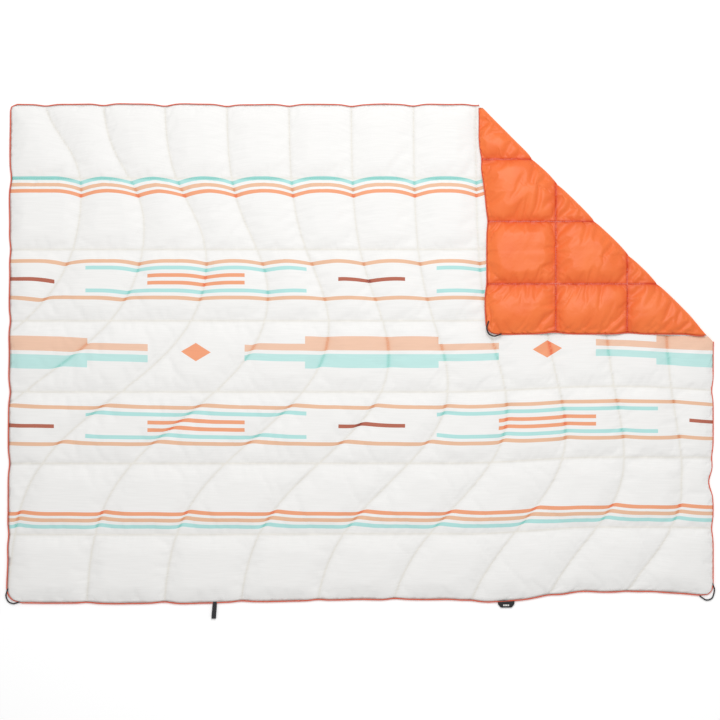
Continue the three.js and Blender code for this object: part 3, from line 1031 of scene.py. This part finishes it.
main_border = border(field_face, [np.s_[0, ::-1], np.s_[1:, 0], np.s_[-1, 1:],
                                  np.s_[-2:upper - 2:-1, -1]])
corner_border = border(flap_lining, [np.s_[:, 0], np.s_[-1, 1:]])
corner_border = corner_border[past_crease(corner_border[:, 0], corner_border[:, 1]) < -4]
pipe("edge_piping_cord", main_border, "blanket", "edge_piping")
pipe("corner_piping_cord", corner_border, "corner_flap", "flap_edge_piping")
print(f"piping: {len(main_border)} and {len(corner_border)} border points followed")

# %% Stitches along every line, on both sides
STITCH, STITCH_PITCH = 3.2, 4.6     # length of a stitch, and from one to the next
THREAD_HALF = 0.35
SPINDLE = np.array([[-1, 0, 0], [1, 0, 0], [0, -1, 0], [0, 0, 1], [0, 1, 0], [0, 0, -1]])
SPINDLE_FACES = np.array([[0, 2, 3], [0, 3, 4], [0, 4, 5], [0, 5, 2],
                          [1, 3, 2], [1, 4, 3], [1, 5, 4], [1, 2, 5]])


def stitches(name, lines, body):
    """One piece with a small spindle of thread for every stitch."""
    paths = [evenly(line, STITCH_PITCH) for line in lines if len(line) > 3]
    centres = np.concatenate(paths)
    ahead = np.concatenate([directions(path)[0] for path in paths])
    across = np.cross(ahead, [0, 0, 1])
    across /= np.linalg.norm(across, axis=1, keepdims=True)
    half = np.stack([ahead * STITCH / 2, across * THREAD_HALF, np.cross(across, ahead) * THREAD_HALF], 1)
    points = centres[:, None] + np.einsum("va,nax->nvx", SPINDLE, half)
    faces = SPINDLE_FACES[None] + len(SPINDLE) * np.arange(len(centres))[:, None, None]
    piece = new_piece(name, points.reshape(-1, 3), faces.reshape(-1, 3).tolist())
    piece.data.materials.append(THREAD)
    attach(piece, body)
    print(f"{name}: {len(centres)} stitches")
    return piece


def lines_on(skin, x, row_places, cross_places, keep):
    """The paths that stitched lines take over one skin, where keep is true."""
    grid = np.stack(skin, -1)
    paths = []
    for line in row_places:
        row = np.abs(line).argmin()
        paths.append(grid[row][keep[row]])
    for at in cross_places:
        path = []
        for row, value in enumerate(at):
            kept = x[row][keep[row]]
            if len(kept) and kept[0] < value < kept[-1]:
                path.append(grid[row, np.abs(x[row] - value).argmin()])
        paths.append(np.array(path))
    return paths


def lifted(skin, by):
    """The same skin, by mm higher."""
    return skin[0], skin[1], skin[2] + by


on_field = (edge_distance(flat_x, flat_y) > 5) & (past_crease(flat_x, flat_y) < -ROLL)
places = ([y_rows - line for line in ROW_LINES], [cross_line(n, y_rows) for n in range(CROSS_LINES)])
above = lines_on(lifted(field_face, SLIP), flat_x, *places, on_field)
below = lines_on((lie_x, lie_y, lining_z - SLIP), flat_x, *places, on_field)
stitches("quilting_thread_field", above + below, "blanket")

on_corner = (past_crease(fx, fy) < -ROLL) & (fx > flap_side(fy) + 5) & (fy > flap_hem(fx) + 5)
places = ([fy_rows - line for line in FLAP_Y], [np.full(FLAP_ROWS, line) for line in FLAP_X])
above = lines_on(lifted(flap_lining, SLIP), fx, *places, on_corner)
below = lines_on((fx, fy, flap_under_z - SLIP), fx, *places, on_corner)
stitches("quilting_thread_corner", above + below, "corner_flap")

# %% [markdown]
# Braided cord makes the small loops at the corners, where a stake or a bag strap
# clips in. A braid is strands that wind both ways, so its surface is a lattice of
# small swellings: two sets of helices, one each way, and the higher one is seen. The
# ends are sewn into the pad and the bow is free; the cord is drawn where it lies.

# %% Corner loops of braided cord
CORD_RADIUS, CORD_SIDES, CORD_STEP = 2.0, 20, 0.7
BRAID_PITCH = 7.0                   # the swellings repeat this far along; real ones are closer
BRAID_STRANDS = 4                   # strands that wind each way
BOW_SHARE = 0.6                     # how much of the pad edge's shift the bow follows
HELD_IN = 7                         # the ends enter the pad this far inside the bow


def corner_loop(name, node, x_way, shift):
    """A loop bowed round a corner, its ends held by the pad; x_way is 1 at a low-x corner."""
    low, high = box_mm(node)
    outer_x, root_x = (low[0], high[0]) if x_way > 0 else (high[0], low[0])
    outer_y, root_y = low[1], high[1]
    z = (low[2] + high[2]) / 2
    held_x, held_y = outer_x + x_way * HELD_IN + shift[0], outer_y + HELD_IN + shift[1]
    x0 = outer_x + x_way * CORD_RADIUS + shift[0] * BOW_SHARE
    y0 = outer_y + CORD_RADIUS + shift[1] * BOW_SHARE
    root_x, root_y = root_x + shift[0], root_y + shift[1]
    path = rounded_path([(root_x + x_way * 4, held_y, z + 0.3), (root_x - x_way * 4, (held_y + y0) / 2, z),
                         (root_x - x_way * 16, y0, z - 0.6), (x0 + x_way * 6, y0 + 6, z - 1.2),
                         (x0, root_y - 16, z - 0.6), ((held_x + x0) / 2, root_y - 4, z),
                         (held_x, root_y + 4, z + 0.3)], CORD_STEP)
    run = np.arange(len(path))[:, None] * CORD_STEP
    angle = np.linspace(0, 2 * math.pi, CORD_SIDES, endpoint=False)[None]
    left = np.sin(BRAID_STRANDS * (angle + 2 * math.pi * run / BRAID_PITCH / BRAID_STRANDS))
    right = np.sin(BRAID_STRANDS * (angle - 2 * math.pi * run / BRAID_PITCH / BRAID_STRANDS))
    radius = CORD_RADIUS * (0.94 + 0.08 * np.maximum(left, right))
    piece = sweep(name, path, ring(radius, CORD_SIDES), CORD_BLACK)
    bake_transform(piece)
    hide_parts(node)
    print(f"{name}: {len(path) * CORD_STEP:.0f} mm of cord")


def drawn_by(x, y):
    """How far the lying cloth has moved a place on the field's edge."""
    lie = drape(np.array([x]), np.array([y]))
    return lie[0][0] - x, lie[1][0] - y


corner_loop("loop_cord_bottom_left", "corner_loop_bottom_left",
            1, drawn_by(LEFT + CORNER / 3, BOTTOM + CORNER / 3))
corner_loop("loop_cord_bottom_right", "corner_loop_bottom_right",
            -1, drawn_by(RIGHT - CORNER / 3, BOTTOM + CORNER / 3))
corner_loop("loop_cord_folded_corner", "corner_loop_folded",
            1, (0, 3))

# %% [markdown]
# The hanging loop is a strip of flat webbing turned back on itself, and the label is
# a strip of woven tape folded at its tip. Both are ribbons: a path seen from the side,
# carried across by a thin flat section with ribs where the weft bulges.

# %% Ribbons
RIBBON_STEP, RIB_PITCH = 0.5, 1.6


def ribbon(name, path, width, thickness, rib, material, lean=0.0):
    """A flat strip, ribbed across, whose width changes along it and which may lean aside."""
    path = evenly(np.array(path, float), RIBBON_STEP)
    run = np.linspace(0, 1, len(path))
    wide = np.interp(run, np.linspace(0, 1, len(width)), width) / 2
    path[:, 0] += lean * np.sin(run * math.pi) ** 2
    share = np.linspace(-1, 1, 15)
    edge = np.sqrt(1 - np.clip(np.abs(share), 0, 0.999) ** 8)
    ribs = rib * np.sin(2 * math.pi * np.arange(len(path)) * RIBBON_STEP / RIB_PITCH)[:, None]
    weave = np.cos(math.pi * share * 7)[None] * ribs
    up = thickness / 2 * edge[None] + weave * edge[None]
    top = np.stack([share[None] * wide[:, None], up], -1)
    bottom = np.stack([share[None] * wide[:, None], -up], -1)[:, ::-1]
    return sweep(name, path, np.concatenate([top, bottom], 1), material, across=(1, 0, 0))


def folded_strip(root_y, tip_y, z, gap, eye, centre_x):
    """Side view of a strip that goes out low, turns at the tip and comes back above."""
    turn = [(centre_x, tip_y + eye - eye * math.cos(a), z - eye * math.sin(a))
            for a in np.linspace(math.pi / 2, -math.pi / 2, 13)]
    out = [(centre_x, root_y, z - gap), (centre_x, root_y * 0.6 + tip_y * 0.4, z - gap - 0.2)]
    back = [(x, y, 2 * z - h) for x, y, h in out[::-1]]
    return rounded_path(out + turn + back, RIBBON_STEP)


print(f"ribbons have a point every {RIBBON_STEP} mm and a rib every {RIB_PITCH} mm")

# %% Webbing loop and label
hang_low, hang_high = box_mm("hang_loop")
hang_z = (hang_low[2] + hang_high[2]) / 2
hang_eye = (hang_high[2] - hang_low[2]) / 2 - 0.75
hang_path = folded_strip(hang_high[1] + 8, hang_low[1] + 0.8, hang_z, 0.85, hang_eye,
                         (hang_low[0] + hang_high[0]) / 2)
hang_width = (10.5, 12, 12.5, 12.5, 12.5, 12, 10.5)
hang = ribbon("hang_loop_webbing", hang_path, hang_width, thickness=1.4, rib=0.1,
              material=WEBBING, lean=-3.0)
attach(hang, "webbing_loop")
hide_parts("hang_loop")
label_z = (label_low[2] + label_high[2]) / 2
label_path = folded_strip(label_high[1] + 6, label_low[1] + 0.4, label_z, 0.62, 0.62, TRIM_X)
label = ribbon("label_woven_tape", label_path, (46, 44, 28, 44, 46), thickness=1.0, rib=0.04,
               material=LABEL)
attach(label, "label")
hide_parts("label_tab")
for piece, (low, high) in ((hang, (hang_low, hang_high)), (label, (label_low, label_high))):
    print(f"{piece.name}: {high[1] - low[1]:.0f} mm from the seam to the tip")

# %% [markdown]
# ## Floor, light and camera
# The blanket lies on a plain pale floor. One broad lamp high beyond the far edge gives
# the puffs their shape, and an even surround keeps the shadows soft. The camera hangs
# straight above on a long lens, so the edges stay parallel.

# %% Floor
FLOOR_GAP = 0.5                     # the floor lies just under the lining, so that they never flicker
FLOOR_GLOW = 0.16                   # a little light of its own keeps it pale
# Emulsion paint, rolled on: dead matt, and the same white all over.
floor_material = new_material(
    "emulsion_paint_matt_white", Base_Color=linear("FFFFFF"), Roughness=1.0, Specular_IOR_Level=0.0,
    Emission_Color=linear("FFFFFF"), Emission_Strength=FLOOR_GLOW)[0]
bpy.ops.mesh.primitive_plane_add(size=40, location=(0, 0, -FLOOR_GAP * MM))
floor = bpy.context.object
floor.name = "floor"
floor.data.materials.append(floor_material)
print("floor at", round(floor.location.z / MM, 1), "mm")

# %% Light
KEY_AT = Vector((0.25, 1.3, 3.1))
KEY_SIZE, KEY_POWER = 1.5, 56
SURROUND = 0.57                     # strength of the even light from all round
key_data = bpy.data.lights.new("key_softbox", "AREA")
key_data.size = KEY_SIZE
key_data.energy = KEY_POWER
key = bpy.data.objects.new("key_softbox", key_data)
key.location = KEY_AT
key.rotation_euler = (-KEY_AT).to_track_quat("-Z", "Y").to_euler()
scene.collection.objects.link(key)
world = bpy.data.worlds.new("studio")
world.use_nodes = True
world.node_tree.nodes["Background"].inputs["Color"].default_value = (1, 1, 1, 1)
world.node_tree.nodes["Background"].inputs["Strength"].default_value = SURROUND
scene.world = world
scene.view_settings.view_transform = "Standard"
print(f"key lamp {KEY_POWER} W, {KEY_AT.length:.1f} m away")

# %% Camera
VIEW_WIDTH = 1.944                  # metres seen across the picture
CAMERA_HEIGHT = 10
camera_data = bpy.data.cameras.new("overhead")
camera_data.lens = camera_data.sensor_width * CAMERA_HEIGHT / VIEW_WIDTH
camera = bpy.data.objects.new("overhead", camera_data)
camera.location = (-0.0014, -0.0176, CAMERA_HEIGHT)
scene.collection.objects.link(camera)
scene.camera = camera
print(f"camera {CAMERA_HEIGHT} m up with a {camera_data.lens:.0f} mm lens")
